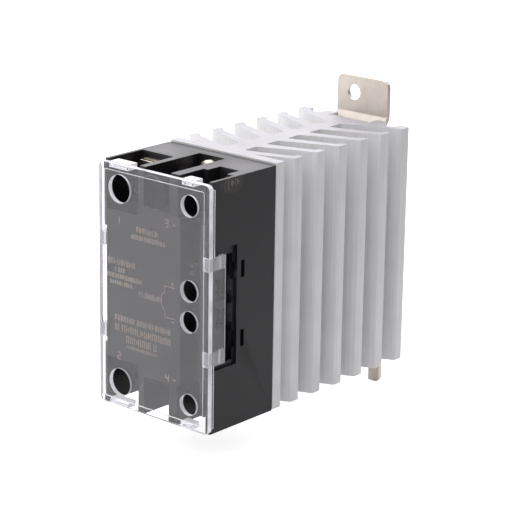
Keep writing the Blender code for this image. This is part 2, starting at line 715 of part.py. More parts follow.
def make_cover():
    plate_outline = rounded_rectangle(COVER_HALF_W, COVER_HALF_H, COVER_CORNER, CASE_Z)
    cover = prism("terminal_cover", plate_outline, (0.0, COVER_PLATE), "XZ", CLEAR_PLASTIC)
    face_outline = rounded_rectangle(COVER_HALF_W - COVER_RIM, COVER_HALF_H - COVER_RIM, 0.8, CASE_Z)
    cut(cover, prism("face_recess", face_outline, (-1.0, FACE_RECESS), "XZ", collection=CUTTERS))
    inner = COVER_HALF_W - COVER_WALL
    skirt_half = COVER_HALF_H - COVER_CORNER
    skirt_z = span(1, -skirt_half, skirt_half)
    wing_z = (in_case(CLIPS_Z[1][0]), in_case(CLIPS_Z[0][1]))
    rooted = COVER_PLATE - 0.5
    for hand, side in (("right", 1), ("left", -1)):
        wall_x = tuple(sorted((side * inner, side * COVER_HALF_W)))
        join(
            cover,
            box(f"skirt_{hand}", wall_x, (rooted, COVER_SKIRT), skirt_z),
            box(f"wing_{hand}", wall_x, (rooted + 0.1, WING_DEPTH), wing_z),
        )
        hook_x = tuple(sorted((side * (inner - 0.75), side * (inner + 0.2))))
        for number, z in enumerate(CLIPS_Z, start=1):
            z = tuple(in_case(value) for value in z)
            join(cover, box(f"hook_{hand}_{number}", hook_x, (WING_DEPTH - 1.8, WING_DEPTH - 0.05), z))
            window_x = (side * (inner - 2.0), side * (inner - 0.5))
            cut(cover, block(f"hook_window_{hand}_{number}", window_x, (-1, COVER_PLATE + 1), z))
    for side, place in ((1, "top"), (-1, "bottom")):
        for name, (tab_x, slot_x) in COVER_TABS.items():
            join(cover, box(f"tab_{name}_{place}", tab_x, (rooted, TAB_DEPTH), span(side, *TAB_Z)))
            cut(cover, block(f"slot_{name}_{place}", slot_x, (-1.0, SLOT_DEPTH), span(side, *SLOT_Z)))
        cut(
            cover,
            hole(f"load_hole_{place}", LOAD_X, (-1, 3), in_case(side * LOAD_Z), LOAD_HOLE, 40),
            hole(f"control_hole_{place}", CONTROL_X, (-1, 3), in_case(side * CONTROL_Z), SMALL_HOLE, 32),
            hole(f"alarm_hole_{place}", ALARM_X, (-1, 3), in_case(side * ALARM_Z), SMALL_HOLE, 32),
        )
    put_origin(cover, point(0, 0, CASE_Z))
    return cover


# ---------------------------------------------------------------- rear bracket and rail latch


def bracket_outline():
    """Outline of the bracket from behind: tab, wide plate on the heat sink's ribs, and the foot."""
    shoulder = BEND_LOW - 1.0
    right = [
        (TAB_HALF_W, FOOT_BOTTOM, 1.6),
        (TAB_HALF_W, -shoulder, 0),
        (PLATE_HALF_W, -shoulder + 1.0, 0.5),
        (PLATE_HALF_W, shoulder - 1.0, 0.5),
        (TAB_HALF_W, shoulder, 0),
        (TAB_HALF_W, TAB_TOP, 2.4),
    ]
    return right + [(-x, z, radius) for x, z, radius in reversed(right)]


def make_bracket():
    near, back = PLATE_FRONT, DEPTH
    seat, tab_front = near + SHEET, back - SHEET
    tight, wide = 1.0, 2.4
    side_view = [
        (near, -BEND_LOW, wide),
        (near, BEND_LOW, wide),
        (tab_front, BEND_HIGH, tight),
        (tab_front, TAB_TOP + 1),
        (back, TAB_TOP + 1),
        (back, BEND_HIGH - 0.6, wide),
        (seat, BEND_LOW - 0.6, tight),
        (seat, -BEND_LOW + 0.6, tight),
        (back, -BEND_HIGH + 0.6, wide),
        (back, FOOT_BOTTOM - 1),
        (tab_front, FOOT_BOTTOM - 1),
        (tab_front, -BEND_HIGH, tight),
    ]
    reach = PLATE_HALF_W + 1
    bracket = prism("rail_bracket", side_view, (-reach, reach), "DZ", STEEL)
    cutter_ends = (near - 1, back + 1)
    outline = prism("bracket_outline", bracket_outline(), cutter_ends, "XZ", collection=CUTTERS)
    cut(bracket, outline, operation="INTERSECT")

    foot_slot_top = -BEND_HIGH - 1.5
    foot_slot = [
        (-FOOT_INNER, FOOT_BOTTOM - 2),
        (FOOT_INNER, FOOT_BOTTOM - 2),
        (FOOT_INNER, foot_slot_top, 1.0),
        (-FOOT_INNER, foot_slot_top, 1.0),
    ]
    cut(bracket, prism("foot_slot", foot_slot, cutter_ends, "XZ", collection=CUTTERS))
    rail_top, rail_bottom = RAIL_Z + RAIL_HALF, RAIL_Z - RAIL_HALF
    hook_rear = back - 0.1
    neck_bottom = rail_bottom - GAP - LATCH_NECK
    latch_window = (neck_bottom - LATCH_TRAVEL - GAP, rail_bottom + 3.7)
    cut(bracket, block("latch_window", (-LATCH_HALF_W - 0.4, LATCH_HALF_W + 0.4), cutter_ends, latch_window))
    arm_z = (rail_top + 0.4, rail_top + 2.0)
    lip_z = (rail_top - 3.2, rail_top + 1.2)
    window_z = (lip_z[0] - 1.0, arm_z[0])
    for side, hand in ((1, "right"), (-1, "left")):
        hook_x = (side * 4.2, side * 9.8)
        window_x = (side * 4.0, side * 10.0)
        join(
            bracket,
            box(f"hook_arm_{hand}", hook_x, (seat - 0.8, hook_rear), arm_z),
            box(f"hook_lip_{hand}", hook_x, (hook_rear - HOOK_THICK, hook_rear), lip_z),
        )
        cut(bracket, block(f"hook_window_{hand}", window_x, (near - 1, seat + 0.1), window_z))
    x, z = TAB_HOLE
    cut(bracket, hole("tab_hole", x, cutter_ends, z, TAB_HOLE_DIA / 2, 32))
    for name, x, z in BRACKET_SCREWS:
        cut(bracket, hole(f"{name}_way", x, cutter_ends, z, SCREWS["bracket"][0] + 0.25, 20))
    for name, z in RIVETS:
        cut(bracket, hole(f"{name}_way", 0.0, cutter_ends, z, RIVET_RADIUS + 0.2, 20))
    return bracket


def turn_to_rear(screw):
    """Points a bracket screw's head to the rear: half a turn about the vertical through its origin."""
    bpy.context.view_layer.update()
    place = screw.matrix_world.translation.copy()
    half_turn = Matrix.Translation(place) @ Matrix.Rotation(math.pi, 4, "Z") @ Matrix.Translation(-place)
    screw.matrix_world = half_turn @ screw.matrix_world
    for modifier in screw.modifiers:
        if modifier.type == "BOOLEAN":
            modifier.object.matrix_world = half_turn @ modifier.object.matrix_world


def make_bracket_screws():
    for name, x, z in BRACKET_SCREWS:
        turn_to_rear(pan_screw(name, x, RAIL_SEAT + GAP, z, SCREWS["bracket"]))


def make_latch():
    """A sheet steel slide in the heat sink's rear channel, with a hook for the rail's lower edge."""
    near, seat = LATCH_FRONT, LATCH_FRONT + SHEET
    hook_rear = DEPTH - 0.1
    neck_top = RAIL_Z - RAIL_HALF - GAP
    tail = -47.5
    side_view = [
        (near, tail),
        (near, neck_top, 1.0),
        (hook_rear - HOOK_THICK, neck_top),
        (hook_rear - HOOK_THICK, neck_top + 3.4),
        (hook_rear, neck_top + 3.7),
        (hook_rear, neck_top - LATCH_NECK, 0.8),
        (seat, neck_top - LATCH_NECK),
        (seat, tail),
    ]
    latch = prism("rail_latch", side_view, (-LATCH_HALF_W, LATCH_HALF_W), "DZ", STEEL)
    slot_tops = (RIVETS[0][1] + SLOT_HALF_W + LATCH_TRAVEL, SPRING_TOP)
    for (name, z), slot_top in zip(RIVETS, slot_tops):
        slot_bottom = z - SLOT_HALF_W
        middle, half = (slot_top + slot_bottom) / 2, (slot_top - slot_bottom) / 2
        slot = rounded_rectangle(SLOT_HALF_W, half, SLOT_HALF_W - 0.01, middle)
        cut(latch, prism(f"{name}_slot", slot, (near - 1, seat + 1), "XZ", collection=CUTTERS))
    driver = rounded_rectangle(2.6, 0.8, 0.4, tail + 2.5)
    cut(latch, prism("driver_slot", driver, (near - 1, seat + 1), "XZ", collection=CUTTERS))
    put_origin(latch, point(0, near, neck_top))


def make_rivets():
    front_head = (LATCH_FRONT - 1.2, LATCH_FRONT - GAP)
    rear_head = (RAIL_SEAT + 0.2, RAIL_SEAT + 0.9)
    for name, z in RIVETS:
        shank = (front_head[0] + 0.3, rear_head[1] - 0.3)
        rivet = rod(name, 0.0, shank, z, RIVET_RADIUS, ZINC, segments=20)
        for place, ends in (("front", front_head), ("rear", rear_head)):
            join(rivet, rod(f"{name}_{place}_head", 0.0, ends, z, RIVET_HEAD, segments=24))


def make_spring():
    """A compression spring on the lower rivet's head, which lifts the latch by the top of its slot."""
    radius, wire, turns, steps = 1.25, 0.2, 4, 12
    low, high = RIVETS[1][1] + RIVET_HEAD + 0.25, SPRING_TOP - 0.6
    curve = bpy.data.curves.new("latch_spring", "CURVE")
    curve.dimensions = "3D"
    curve.bevel_depth = wire * MM
    curve.bevel_resolution = 2
    curve.use_fill_caps = True
    spline = curve.splines.new("POLY")
    spline.points.add(turns * steps)
    for i, spot in enumerate(spline.points):
        angle = 2 * math.pi * i / steps
        z = low + wire + (high - low - 2 * wire) * i / (turns * steps)
        place = point(radius * math.cos(angle), LATCH_FRONT + radius * math.sin(angle), z)
        spot.co = (*place, 1)
    add("latch_spring", curve, ZINC)


def main():
    clear_scene()
    make_heat_sink()
    make_case()
    make_power_stage()
    make_electronics()
    make_terminals()
    make_cover()
    make_bracket()
    make_bracket_screws()
    make_latch()
    make_rivets()
    make_spring()


main()
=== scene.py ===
"""Looks of the solid state relay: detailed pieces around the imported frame, and their materials.

Lengths are in metres, and MM turns millimetres into metres. X runs to the right of someone who
faces the terminals, Y rearwards from them, and Z up.
"""

import json
import math
import random
from collections import namedtuple

import bmesh
import bpy
from mathutils import Matrix, Vector


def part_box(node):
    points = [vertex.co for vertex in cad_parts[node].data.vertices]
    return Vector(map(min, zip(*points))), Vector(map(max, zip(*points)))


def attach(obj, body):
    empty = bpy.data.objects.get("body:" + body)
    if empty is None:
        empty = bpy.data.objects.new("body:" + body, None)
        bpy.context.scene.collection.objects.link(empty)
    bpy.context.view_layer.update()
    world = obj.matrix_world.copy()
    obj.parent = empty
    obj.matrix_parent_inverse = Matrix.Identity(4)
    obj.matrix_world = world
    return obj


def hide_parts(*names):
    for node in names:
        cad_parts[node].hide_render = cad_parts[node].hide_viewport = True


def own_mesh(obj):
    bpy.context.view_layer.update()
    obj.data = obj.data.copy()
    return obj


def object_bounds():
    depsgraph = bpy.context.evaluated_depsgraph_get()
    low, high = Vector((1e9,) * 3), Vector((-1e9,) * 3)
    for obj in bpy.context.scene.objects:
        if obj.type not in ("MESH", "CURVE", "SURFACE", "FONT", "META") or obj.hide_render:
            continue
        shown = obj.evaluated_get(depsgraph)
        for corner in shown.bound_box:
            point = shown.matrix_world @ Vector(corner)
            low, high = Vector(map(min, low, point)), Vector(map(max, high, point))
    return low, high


MM = 0.001

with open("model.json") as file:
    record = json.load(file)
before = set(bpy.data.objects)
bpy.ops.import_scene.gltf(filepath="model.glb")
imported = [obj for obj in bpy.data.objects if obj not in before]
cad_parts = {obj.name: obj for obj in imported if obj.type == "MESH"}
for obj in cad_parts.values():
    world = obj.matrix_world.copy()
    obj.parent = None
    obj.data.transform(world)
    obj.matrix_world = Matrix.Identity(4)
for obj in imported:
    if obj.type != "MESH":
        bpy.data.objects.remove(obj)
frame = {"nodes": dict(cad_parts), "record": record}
CAD_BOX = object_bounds()
BODY_OF = {
    node: body for body, nodes in frame["record"]["behaviour"]["bodies"].items() for node in nodes
}

COVER_LOW, COVER_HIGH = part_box("terminal_cover")
CASE_LOW, CASE_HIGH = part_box("case")
CASE_MIDDLE = (CASE_LOW.z + CASE_HIGH.z) / 2

# Finer than this, corners of a CAD mesh are one corner, and faces that meet are one flat face
SAME_CORNER = 1e-6
FLAT_ANGLE = math.radians(0.5)

# Camera: from the front, right and above, in degrees, metres and millimetres
AZIMUTH, ELEVATION, ROLL = 40.83, 16.76, 0.85
DISTANCE = 0.7005
SHIFT_LEFT, SHIFT_UP = 2.54, 1.53
LENS, SENSOR_WIDTH = 150.96, 36
NEAREST = 0.01

# Studio light: evenly white, more from above and from behind, less from the right
BASE_LIGHT, LEAST_LIGHT = 0.97, 0.08
LIGHT_FROM_ABOVE = 0.45
LIGHT_FROM_BEHIND = 3.60
BACK_LIGHT, BACK_LIGHT_EDGE = (-0.62, 0.73, 0.29), 0.66
SHADE_ON_THE_RIGHT = 1.06
LIGHT_COLOUR = (0.985, 0.965, 1.0)
BACKDROP = 1.045

# The floor's half size and its gap below the object, and how its light falls off to the right
FLOOR_HALF, FLOOR_GAP = 4.0, 0.02 * MM
FLOOR_LEFT, FLOOR_RIGHT = (-0.02, 0.97), (0.25, 0.45)
FLOOR_GLOW = 0.7


# ---------------------------------------------------------------- shader building


class Shader:
    """A material's node tree while it is being built."""

    def __init__(self, name):
        self.material = bpy.data.materials.new(name)
        self.material.use_nodes = True
        self.tree = self.material.node_tree
        self.tree.nodes.clear()
        self.output = self.add("ShaderNodeOutputMaterial")
        self.place = self.add("ShaderNodeTexCoord").outputs["Object"]
        self.geometry = self.add("ShaderNodeNewGeometry")

    def add(self, kind, inputs=None, **settings):
        """A new node with its settings, and with values or other nodes' outputs for its inputs."""
        node = self.tree.nodes.new(kind)
        for key, value in settings.items():
            setattr(node, key, value)
        for key, value in (inputs or {}).items():
            self.feed(node.inputs[key], value)
        return node

    def feed(self, socket, value):
        """Links an input to an output, or gives it a plain value."""
        if isinstance(value, bpy.types.NodeSocket):
            self.tree.links.new(value, socket)
        elif socket.type == "RGBA":
            socket.default_value = (*value, 1.0)
        else:
            socket.default_value = value

    def scaled(self, stretch):
        """The place on the object, multiplied axis by axis."""
        inputs = {0: self.place, 1: stretch}
        return self.add("ShaderNodeVectorMath", inputs, operation="MULTIPLY").outputs[0]

    def noise(self, size_mm, stretch=(1, 1, 1), detail=2.0, rough=0.5):
        """Noise with lumps about size_mm across, longer along an axis whose stretch is below 1."""
        inputs = {
            "Vector": self.scaled(stretch),
            "Scale": 1 / (size_mm * MM),
            "Detail": detail,
            "Roughness": rough,
        }
        return self.add("ShaderNodeTexNoise", inputs).outputs["Fac"]

    def ranged(self, value, low, high, out_low=0.0, out_high=1.0):
        """A value moved from the range low to high to another range, and held within it."""
        inputs = {
            "Value": value,
            "From Min": low,
            "From Max": high,
            "To Min": out_low,
            "To Max": out_high,
        }
        return self.add("ShaderNodeMapRange", inputs).outputs[0]

    def spread(self, noise, out_low=0.0, out_high=1.0):
        """The range that holds most of a noise's values, moved to another one."""
        return self.ranged(noise, 0.3, 0.7, out_low, out_high)

    def maths(self, operation, a, b=0.0):
        """The result of one operation on two numbers."""
        return self.add("ShaderNodeMath", {0: a, 1: b}, operation=operation).outputs[0]

    def mixed(self, share, a, b):
        """Colour a, with a share of colour b."""
        node = self.add("ShaderNodeMix", data_type="RGBA")
        self.feed(node.inputs[0], share)
        self.feed(node.inputs[6], a)
        self.feed(node.inputs[7], b)
        return node.outputs[2]

    def facing(self, axis):
        """1 where the surface faces along an axis, either way, and 0 across it."""
        parts = self.add("ShaderNodeSeparateXYZ", {0: self.geometry.outputs["True Normal"]})
        return self.maths("ABSOLUTE", parts.outputs["XYZ".index(axis)])

    def edges(self, radius_mm):
        """1 on edges and corners, from how far a rounded normal turns away from the true one."""
        rounded = self.add("ShaderNodeBevel", {"Radius": radius_mm * MM}, samples=4)
        turned = self.add(
            "ShaderNodeVectorMath",
            {0: rounded.outputs[0], 1: self.geometry.outputs["Normal"]},
            operation="DOT_PRODUCT",
        ).outputs["Value"]
        hardly, clearly = 0.995, 0.80
        return self.ranged(turned, hardly, clearly)

    def bump(self, height, depth_mm):
        """A normal for a relief of a depth."""
        inputs = {"Height": height, "Distance": depth_mm * MM, "Strength": 1.0}
        return self.add("ShaderNodeBump", inputs).outputs[0]

    def principled(self, **inputs):
        """A Principled shader. Its inputs are named as in Blender, with underscores for spaces."""
        names = {key: key.replace("_", " ").title().replace("Ior", "IOR") for key in inputs}
        values = {names[key]: value for key, value in inputs.items()}
        return self.add("ShaderNodeBsdfPrincipled", values)

    def finish(self, shader):
        """Links the shader to the output, and gives the material."""
        self.tree.links.new(shader.outputs[0], self.output.inputs["Surface"])
        return self.material


# ---------------------------------------------------------------- materials


def moulded_plastic(name, colour, roughness):
    """Spark-eroded moulding: fine grain, uneven gloss, and edges lightened by slight wear and a
    painted highlight.
    """
    s = Shader(name)
    grain = s.noise(0.28, detail=3.0)
    cloud = s.noise(14.0, detail=2.0)
    # Edges lightened partly by wear and partly as a painted highlight
    wear_and_highlight = s.maths("MULTIPLY", s.edges(0.25), s.ranged(s.noise(1.5), 0.35, 0.75))
    lighter = tuple(min(1.0, c * 1.9 + 0.02) for c in colour)
    clouded = tuple(c * 1.35 for c in colour)
    toned = s.mixed(s.spread(cloud, 0.0, 0.35), colour, clouded)
    return s.finish(
        s.principled(
            base_color=s.mixed(s.maths("MULTIPLY", wear_and_highlight, 0.6), toned, lighter),
            roughness=s.spread(cloud, roughness - 0.05, roughness + 0.06),
            normal=s.bump(grain, 0.006),
        )
    )


def case_plastic(name):
    """The case's black moulding, with a few pale scuffs at the top of its right side, and edges
    greyed by wear and a painted highlight.
    """
    black, grey = (0.0068, 0.0064, 0.0078), (0.0092, 0.0088, 0.0102)
    wear_and_highlight_grey, scuff_tan = (0.055, 0.055, 0.06), (0.26, 0.215, 0.16)
    scuff_place, scuff_reach, scuff_core = 9.5 * MM, 6 * MM, 1 * MM
    scuff_lowest, scuff_full = 5.5 * MM, 2 * MM
    s = Shader(name)
    parts = s.add("ShaderNodeSeparateXYZ", {0: s.place})
    on_side = s.maths("GREATER_THAN", parts.outputs["X"], CASE_HIGH.x - 0.3 * MM)
    from_scuffs = s.maths("SUBTRACT", parts.outputs["Y"], CASE_LOW.y + scuff_place)
    aside = s.maths("ABSOLUTE", from_scuffs)
    below_top = s.maths("SUBTRACT", CASE_HIGH.z, parts.outputs["Z"])
    near = s.maths(
        "MULTIPLY",
        s.ranged(aside, scuff_reach, scuff_core),
        s.ranged(below_top, scuff_lowest, scuff_full),
    )
    streaks = s.noise(0.8, stretch=(1.0, 1.0, 0.45), detail=5.0, rough=0.75)
    near_on_side = s.maths("MULTIPLY", near, on_side)
    scuffs = s.maths("MULTIPLY", near_on_side, s.ranged(streaks, 0.46, 0.62))
    cloud = s.noise(14.0, detail=2.0)
    # Edges greyed partly by wear and partly as a painted highlight
    wear_and_highlight = s.maths("MULTIPLY", s.edges(0.3), s.spread(s.noise(1.5)))
    colour = s.mixed(s.spread(cloud), black, grey)
    colour = s.mixed(s.maths("MULTIPLY", wear_and_highlight, 0.7), colour, wear_and_highlight_grey)
    colour = s.mixed(s.maths("MULTIPLY", scuffs, 0.9), colour, scuff_tan)
    gloss = s.spread(cloud, 0.36, 0.44)
    rough = s.maths("ADD", gloss, s.maths("MULTIPLY", scuffs, 0.3))
    grain = s.noise(0.7, detail=2.0)
    return s.finish(
        s.principled(
            base_color=colour,
            roughness=rough,
            specular_ior_level=0.54,
            normal=s.bump(grain, 0.0015),
        )
    )


def extruded_aluminium(name):
    """Natural anodised extrusion: fine die lines along its length, and sawn ends, darkened by their
    finish and by painted shade.
    """
    side_dark, side_light = (0.81, 0.814, 0.808), (0.885, 0.89, 0.883)
    # The faces that look up and down are darker: their sawn finish, and painted shade against the
    # light from above
    end_dark, end_light = (0.47, 0.466, 0.485), (0.57, 0.566, 0.59)
    cloudy = (0.60, 0.60, 0.63)
    s = Shader(name)
    die_lines = s.noise(0.35, stretch=(1.0, 1.0, 0.004), detail=3.0)
    saw = s.noise(0.45, stretch=(0.05, 1.0, 1.0), detail=3.0, rough=0.7)
    sparkle = s.noise(0.16, detail=1.0)
    cut = s.ranged(s.facing("Z"), 0.85, 0.95)
    cloud = s.noise(9.0, detail=3.0)
    side = s.mixed(s.ranged(die_lines, 0.35, 0.65), side_dark, side_light)
    end = s.mixed(s.ranged(saw, 0.35, 0.65), end_dark, end_light)
    colour = s.mixed(cut, side, end)
    colour = s.mixed(s.ranged(cloud, 0.35, 0.75, 0.0, 0.16), colour, cloudy)
    end_relief = s.maths("ADD", saw, s.maths("MULTIPLY", sparkle, 0.5))
    end_normal = s.bump(end_relief, 0.012)
    side_relief = s.maths("ADD", die_lines, s.maths("MULTIPLY", sparkle, 0.3))
    side_normal = s.bump(side_relief, 0.008)
    normals = {0: cut, 4: side_normal, 5: end_normal}
    normal = s.add("ShaderNodeMix", normals, data_type="VECTOR").outputs[1]
    return s.finish(
        s.principled(
            base_color=colour,
            metallic=0.25,
            roughness=s.spread(cloud, 0.46, 0.58),
            normal=normal,
        )
    )


def plated_metal(name, light, dark, roughness, stretch=(1, 1, 0.05)):
    """Rolled or turned metal under a plated coat: drawn grain, faint tarnish and a painted
    highlight along its edges.
    """
    s = Shader(name)
    grain = s.noise(0.5, stretch=stretch, detail=4.0)
    tarnish = s.noise(5.0, detail=4.0, rough=0.6)
    colour = s.mixed(s.ranged(tarnish, 0.35, 0.7), light, dark)
    # Painted highlight: edges lightened as if they caught the light
    bright = tuple(min(1.0, c * 1.15 + 0.03) for c in light)
    colour = s.mixed(s.maths("MULTIPLY", s.edges(0.2), 0.7), colour, bright)
    rough = s.spread(tarnish, roughness - 0.04, roughness + 0.08)
    normal = s.bump(grain, 0.004)
    return s.finish(
        s.principled(base_color=colour, metallic=1.0, roughness=rough, normal=normal)
    )


def clear_plastic(name, haze, roughness, painted_glow=0.0):
    """Clear polycarbonate with a little haze and fine rubbing marks. Its milky share can glow by
    emission, a painted highlight.
    """
    s = Shader(name)
    rubbing = s.noise(0.8, stretch=(1.0, 1.0, 0.15), detail=4.0)
    clear = s.principled(
        base_color=(0.985, 0.987, 0.995),
        transmission_weight=1.0,
        ior=1.585,
        roughness=s.ranged(rubbing, 0.4, 0.8, roughness, roughness + 0.03),
        normal=s.bump(rubbing, 0.0006),
    )
    # The milky share glows by emission: a painted highlight, not a lamp
    milky = s.principled(
        base_color=(0.90, 0.90, 0.93),
        roughness=0.4,
        emission_color=(0.97, 0.95, 1.0),
        emission_strength=painted_glow,
    )
    share = s.spread(s.noise(6.0, detail=2.0), haze * 0.8, haze * 1.2)
    both = {0: share, 1: clear.outputs[0], 2: milky.outputs[0]}
    return s.finish(s.add("ShaderNodeMixShader", both))


def printed_ink(name, colour):
    """Screen print that is a little patchy."""
    s = Shader(name)
    patchy = s.ranged(s.noise(0.25, detail=2.0), 0.3, 0.6, 0.75, 1.0)
    toned = s.mixed(patchy, tuple(c * 0.6 for c in colour), colour)
    return s.finish(s.principled(base_color=toned, roughness=0.55, normal=s.bump(patchy, 0.004)))


def coated_part(name, colour, roughness=0.35, coat=0.3):
    """Dipped or moulded electronic part: slightly lumpy gloss coat."""
    s = Shader(name)
    lumps = s.noise(1.6, detail=2.0)
    toned = s.mixed(s.ranged(lumps, 0.35, 0.7), colour, tuple(c * 0.75 for c in colour))
    return s.finish(
        s.principled(
            base_color=toned,
            roughness=s.spread(lumps, roughness - 0.05, roughness + 0.08),
            coat_weight=coat,
            normal=s.bump(lumps, 0.03),
        )
    )


def circuit_board(name):
    """Green solder mask over copper tracks, which show as a lighter pattern."""
    s = Shader(name)
    pattern = {"Vector": s.scaled((700, 700, 700)), "Scale": 1.0, "Mortar Size": 0.06}
    cells = s.add("ShaderNodeTexBrick", pattern)
    tracks = s.ranged(cells.outputs["Fac"], 0.2, 0.8)
    weave = s.noise(0.4, detail=2.0)
    mask = s.mixed(tracks, (0.012, 0.10, 0.045), (0.04, 0.22, 0.10))
    normal = s.bump(s.maths("ADD", tracks, weave), 0.01)
    return s.finish(s.principled(base_color=mask, roughness=0.32, normal=normal))


def banded_resistor(name, node):
    """Tan lacquer with colour bands round the body."""
    tan = (0.52, 0.40, 0.26)
    bands = (
        (0.30, (0.25, 0.08, 0.03)),
        (0.42, (0.02, 0.02, 0.02)),
        (0.54, (0.55, 0.16, 0.02)),
        (0.70, (0.5, 0.35, 0.1)),
    )
    half_band = 0.025
    low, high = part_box(node)
    s = Shader(name)
    along = s.add("ShaderNodeSeparateXYZ", {0: s.place}).outputs["Z"]
    share = s.ranged(along, low.z, high.z)
    colour = tan
    for place, band in bands:
        away = s.maths("ABSOLUTE", s.maths("SUBTRACT", share, place))
        colour = s.mixed(s.maths("LESS_THAN", away, half_band), colour, band)
    normal = s.bump(s.noise(1.2), 0.02)
    return s.finish(
        s.principled(base_color=colour, roughness=0.35, coat_weight=0.4, normal=normal)
    )


def grease(name):
    """White thermal compound, spread in streaks."""
    s = Shader(name)
    streaks = s.noise(1.5, stretch=(1.0, 1.0, 0.3), detail=4.0)
    colour = s.mixed(streaks, (0.78, 0.78, 0.76), (0.88, 0.88, 0.86))
    return s.finish(s.principled(base_color=colour, roughness=0.75, normal=s.bump(streaks, 0.05)))


def seen_directly(path, maths):
    """1 for what the camera sees, also through the clear cover, and 0 for light on the object."""
    bounced = maths("ADD", path.outputs["Diffuse Depth"], path.outputs["Glossy Depth"])
    straight = maths("LESS_THAN", bounced, 0.5)
    through = maths("MULTIPLY", path.outputs["Is Transmission Ray"], straight)
    return maths("MAXIMUM", path.outputs["Is Camera Ray"], through)


def floor_material():
    """A white floor that looks even, and lights the object a little less from the right."""
    s = Shader("studio_floor")
    cloud = s.noise(60.0, detail=2.0)
    white = s.mixed(cloud, (0.955, 0.955, 0.96), (0.965, 0.965, 0.97))
    seen = seen_directly(s.add("ShaderNodeLightPath"), s.maths)
    across = s.add("ShaderNodeSeparateXYZ", {0: s.place}).outputs["X"]
    (left, left_shade), (right, right_shade) = FLOOR_LEFT, FLOOR_RIGHT
    shade = s.ranged(across, left, right, left_shade, right_shade)
    grey = s.add("ShaderNodeCombineColor", {0: shade, 1: shade, 2: shade}).outputs[0]
    colour = s.mixed(seen, grey, white)
    glow = s.maths("MULTIPLY", seen, FLOOR_GLOW)
    return s.finish(
        s.principled(
            base_color=colour,
            roughness=0.9,
            specular_ior_level=0.1,
            emission_color=(1.0, 1.0, 1.0),
            emission_strength=glow,
        )
    )


EVENLY = (1, 1, 1)
BLACK = case_plastic("black_case_plastic")
CHIP_BLACK = moulded_plastic("black_chip_plastic", (0.02, 0.02, 0.02), 0.45)
ALUMINIUM = extruded_aluminium("anodised_extrusion")
NICKEL = plated_metal("nickel_plated_sheet", (0.76, 0.70, 0.625), (0.69, 0.625, 0.545), 0.34)
POLISHED = plated_metal("bright_nickel", (0.86, 0.80, 0.68), (0.78, 0.70, 0.55), 0.10)
# Painted shade: terminal screws and alarm parts lie deep in the case, so their steel is given a
# near-black colour in place of its shade
STEEL_PAINTED_SHADE = plated_metal("dark_plated_steel", (0.035, 0.033, 0.033), (0.022, 0.021, 0.02), 0.3)
# Painted shade: a dimmed copy of the nickel for the control clamps, which lie in shade inside the
# case
NICKEL_PAINTED_SHADE = plated_metal("smoky_nickel", (0.36, 0.34, 0.31), (0.28, 0.26, 0.22), 0.14)
ZINC = plated_metal("zinc_plated_screw", (0.90, 0.87, 0.78), (0.74, 0.67, 0.53), 0.42, EVENLY)
TIN = plated_metal("tin_plated_brass", (0.82, 0.78, 0.66), (0.70, 0.62, 0.45), 0.30)
COPPER = plated_metal("rolled_copper", (0.80, 0.47, 0.32), (0.62, 0.33, 0.22), 0.32)
CLEAR = clear_plastic("clear_polycarbonate", haze=0.012, roughness=0.02)
# Frosted clips and tabs, with a faint painted glow by emission
FROSTED_PAINTED_GLOW = clear_plastic("frosted_polycarbonate", haze=0.22, roughness=0.2, painted_glow=0.1)
# Painted highlight: the cover's edges are milky and glow by emission, standing in for the light
# they catch
EDGE = clear_plastic("polycarbonate_edge", haze=0.72, roughness=0.2, painted_glow=0.24)
# Painted highlight for the step of the cover's sunk face, glowing by emission
STEP_HIGHLIGHT_GLOW = clear_plastic("polycarbonate_bead", haze=0.6, roughness=0.2, painted_glow=0.25)
PIPE = clear_plastic("light_pipe_acrylic", haze=0.10, roughness=0.10)
INK = printed_ink("tan_print", (0.60, 0.50, 0.40))
CERAMIC = coated_part("alumina_ceramic", (0.84, 0.83, 0.79), roughness=0.5, coat=0.0)
SILICON = coated_part("silicon_die", (0.09, 0.09, 0.12), roughness=0.25, coat=0.2)
YELLOW = coated_part("film_capacitor", (0.62, 0.45, 0.06))
BLUE = coated_part("dipped_varistor", (0.04, 0.10, 0.34))
GREEN_LED = coated_part("green_led_chip", (0.08, 0.50, 0.12), roughness=0.2, coat=0.6)
RED_LED = coated_part("red_led_chip", (0.60, 0.05, 0.04), roughness=0.2, coat=0.6)
BOARD = circuit_board("solder_mask")
GREASE = grease("thermal_compound")
BANDED = banded_resistor("banded_lacquer", "snubber_resistor")


# ---------------------------------------------------------------- geometry helpers


def smoothing_group(degrees):
    """A node group that shades a mesh smooth, but for edges that turn by more than an angle."""
    group = bpy.data.node_groups.new("smooth_by_angle", "GeometryNodeTree")
    for way in ("INPUT", "OUTPUT"):
        group.interface.new_socket("Geometry", in_out=way, socket_type="NodeSocketGeometry")
    nodes, links = group.nodes, group.links
    angle = nodes.new("GeometryNodeInputMeshEdgeAngle")
    gentle = nodes.new("FunctionNodeCompare")
    gentle.data_type, gentle.operation = "FLOAT", "LESS_THAN"
    gentle.inputs["B"].default_value = math.radians(degrees)
    faces, edges = (nodes.new("GeometryNodeSetShadeSmooth") for _ in range(2))
    faces.domain, edges.domain = "FACE", "EDGE"
    links.new(angle.outputs["Unsigned Angle"], gentle.inputs["A"])
    links.new(gentle.outputs["Result"], edges.inputs["Shade Smooth"])
    links.new(nodes.new("NodeGroupInput").outputs[0], faces.inputs[0])
    links.new(faces.outputs[0], edges.inputs[0])
    links.new(edges.outputs[0], nodes.new("NodeGroupOutput").inputs[0])
    return group


SMOOTHING = smoothing_group(20)


